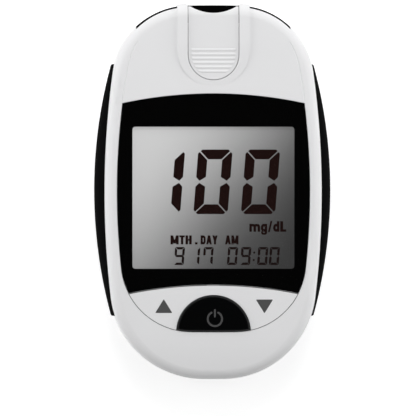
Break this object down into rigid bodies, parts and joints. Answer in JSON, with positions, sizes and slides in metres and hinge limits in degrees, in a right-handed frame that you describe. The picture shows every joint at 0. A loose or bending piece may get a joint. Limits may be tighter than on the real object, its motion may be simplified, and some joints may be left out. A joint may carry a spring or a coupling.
{
  "type": "blood glucose meter",
  "caption": "Oval palm-sized blood glucose meter with a large display window, arrow rocker, half-round power button, strip port, eject slider, side grips and battery door.",
  "frame": {"origin": "on the surface the meter rests on, under the centre of its outline, with the meter lying on its back", "axes": "+X to the meter's right, +Y towards the end that takes the test strip, +Z out of the display"},
  "size_m": [0.0556, 0.0882, 0.0215],
  "materials": {
    "case_white": "gloss injection-moulded ABS",
    "gloss_black": "gloss black ABS",
    "grip_black": "soft-touch rubber",
    "window_black": "clear acrylic, black printed behind round a clear view",
    "foam_black": "adhesive foam",
    "lcd_glass": "LCD glass",
    "lcd_film": "polariser film",
    "frame_grey": "moulded",
    "zebra_rubber": "layered silicone",
    "board_green": "fibreglass board with solder mask",
    "chip_black": "moulded package",
    "component_grey": "small electronic parts",
    "switch_black": "moulded switch",
    "silicone_grey": "silicone rubber",
    "sled_white": "acetal",
    "spring_steel": "spring wire",
    "connector_white": "moulded connector",
    "contact_gold": "gold-plated",
    "cell_steel": "nickel-plated can",
    "contact_nickel": "nickel-plated strip",
    "screw_steel": "zinc-plated",
    "foot_rubber": "matt rubber",
    "label_paper": "blank plastic label",
    "sounder_brass": "brass with ceramic",
    "jack_black": "moulded jack"
  },
  "bodies": {
    "case": {"front_cover": "case_white", "rear_cover": "case_white", "top_band": "gloss_black", "right_grip": "grip_black", "left_grip": "grip_black", "display_lens": "window_black", "lens_gasket": "foam_black", "lcd_glass": "lcd_glass", "lcd_polariser": "lcd_film", "lcd_holder": "frame_grey", "zebra_strips": "zebra_rubber", "main_board": "board_green", "processor_chip": "chip_black", "board_components": "component_grey", "tact_switches": "switch_black", "keypad_mat": "silicone_grey", "eject_spring": "spring_steel", "strip_connector": "connector_white", "strip_contacts": "contact_gold", "coin_cells": "cell_steel", "spring_leaf_contacts": "contact_nickel", "rim_contacts": "contact_nickel", "case_screws": "screw_steel", "board_screws": "screw_steel", "rubber_feet": "foot_rubber", "rear_label": "label_paper", "sounder_disc": "sounder_brass", "sounder_pins": "contact_gold", "data_jack": "jack_black"},
    "ejector": {"eject_slider": "case_white", "ejector_pusher": "sled_white"},
    "power_key": {"power_button": "gloss_black"},
    "rocker": {"arrow_rocker": "case_white"},
    "door": {"battery_door": "case_white"}
  },
  "joints": [
    {"name": "eject_slide", "type": "slide", "parent": "case", "child": "ejector", "axis": [0, 1, 0], "range_m": [0, 0.005], "stiffness_N_per_m": 300, "springref_m": -0.001, "deforming": ["eject_spring"]},
    {"name": "power_press", "type": "slide", "parent": "case", "child": "power_key", "axis": [0, 0, -1], "range_m": [0, 0.0004], "stiffness_N_per_m": 3000, "deforming": ["keypad_mat"]},
    {"name": "rocker_tilt", "type": "hinge", "parent": "case", "child": "rocker", "pos_m": [0, -0.02422, 0.0179], "axis": [0, 1, 0], "range_deg": [-1.5, 1.5], "stiffness_Nm_per_rad": 0.4, "deforming": ["keypad_mat"]},
    {"name": "battery_door_swing", "type": "hinge", "parent": "case", "child": "door", "pos_m": [0, -0.00192, 0.0017], "axis": [1, 0, 0], "range_deg": [0, 75]}
  ]
}
